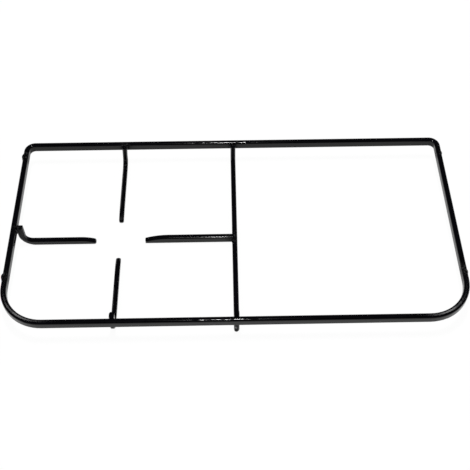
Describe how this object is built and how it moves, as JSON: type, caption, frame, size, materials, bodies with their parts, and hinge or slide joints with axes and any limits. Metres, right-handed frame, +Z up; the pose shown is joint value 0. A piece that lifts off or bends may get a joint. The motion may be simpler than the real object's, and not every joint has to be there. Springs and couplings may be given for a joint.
{
  "type": "hob pan support",
  "caption": "Enamelled steel pan support for a gas hob: a rectangular rail with bent fingers round a burner opening and a bridge bar across the middle, shown hob side up.",
  "frame": {"origin": "under the middle of the outer rail, at the level of the pan-carrying edges of the fingers and the centre bar", "axes": "+X along the length, away from the burner opening, +Y to the rear edge with the tight corner bends, +Z up as it lies with its hob side up; in use it is turned over"},
  "size_m": [0.4846, 0.2436, 0.0308],
  "materials": {
    "black_enamel": "gloss"
  },
  "bodies": {
    "root": {"outer_frame": "black_enamel", "centre_bar": "black_enamel", "left_finger": "black_enamel", "right_finger": "black_enamel", "rear_finger": "black_enamel", "front_finger": "black_enamel"}
  },
  "joints": []
}
